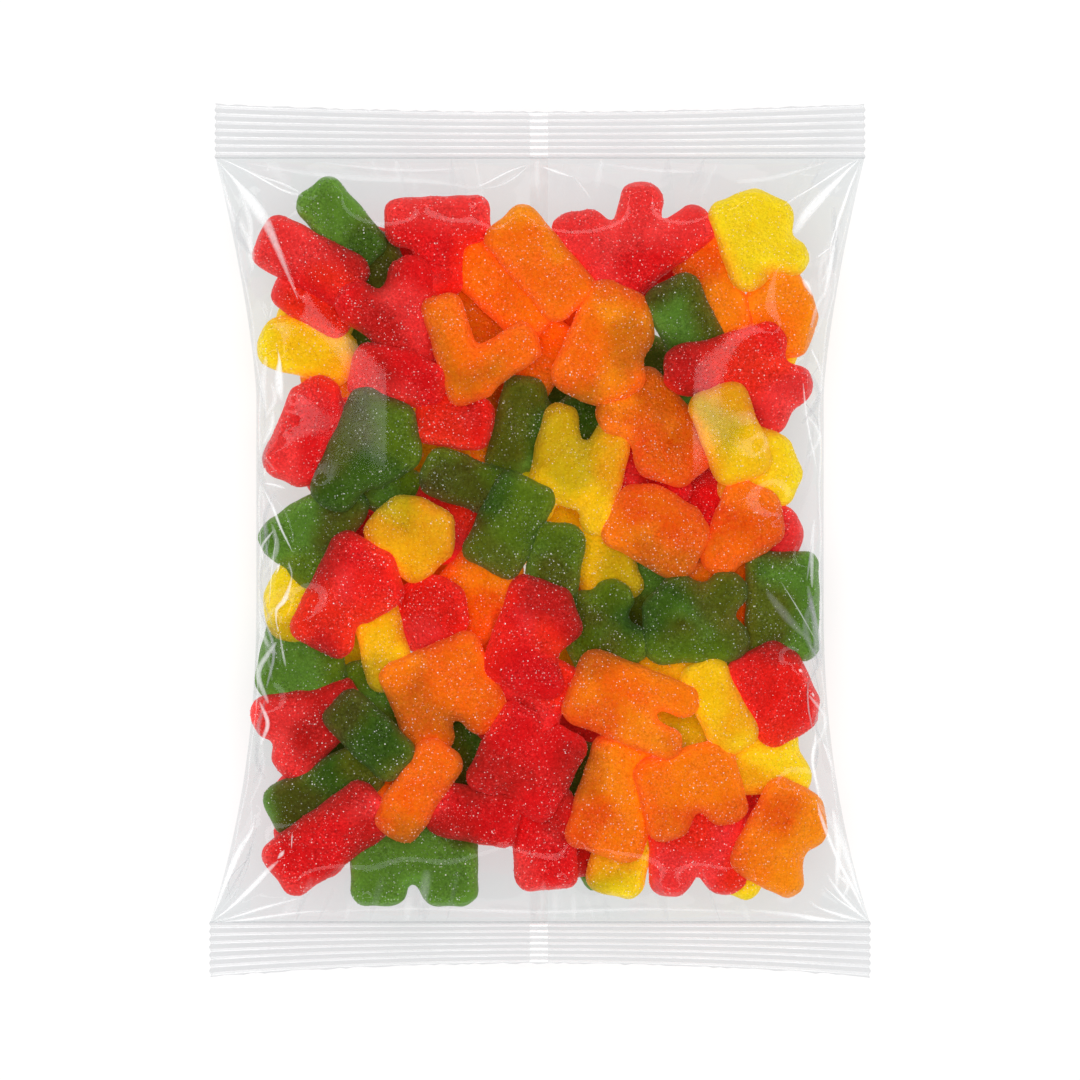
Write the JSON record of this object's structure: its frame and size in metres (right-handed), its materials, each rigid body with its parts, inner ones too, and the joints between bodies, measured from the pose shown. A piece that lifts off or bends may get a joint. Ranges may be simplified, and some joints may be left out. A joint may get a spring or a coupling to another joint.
{
  "type": "sealed bag of jelly letters",
  "caption": "Clear pillow bag with ribbed end seals, filled with sugar-coated fruit jelly letters in red, orange, yellow and green, lying flat.",
  "frame": {"origin": "centre of the underside of the bounding box, on the surface that the bag lies on", "axes": "+X to the right and +Y up the pack as its front is looked at, +Z out of its front"},
  "size_m": [0.15, 0.1984, 0.0357],
  "materials": {
    "film": "clear glossy film with soft creases and crimped end seals",
    "jelly_red": "translucent red fruit jelly under fine sugar",
    "jelly_orange": "translucent orange fruit jelly under fine sugar",
    "jelly_yellow": "translucent yellow fruit jelly under fine sugar",
    "jelly_green": "translucent green fruit jelly under fine sugar",
    "sugar": "fine sparkling sugar crystals"
  },
  "bodies": {
    "root": {"bag": "film"}
  },
  "joints": []
}
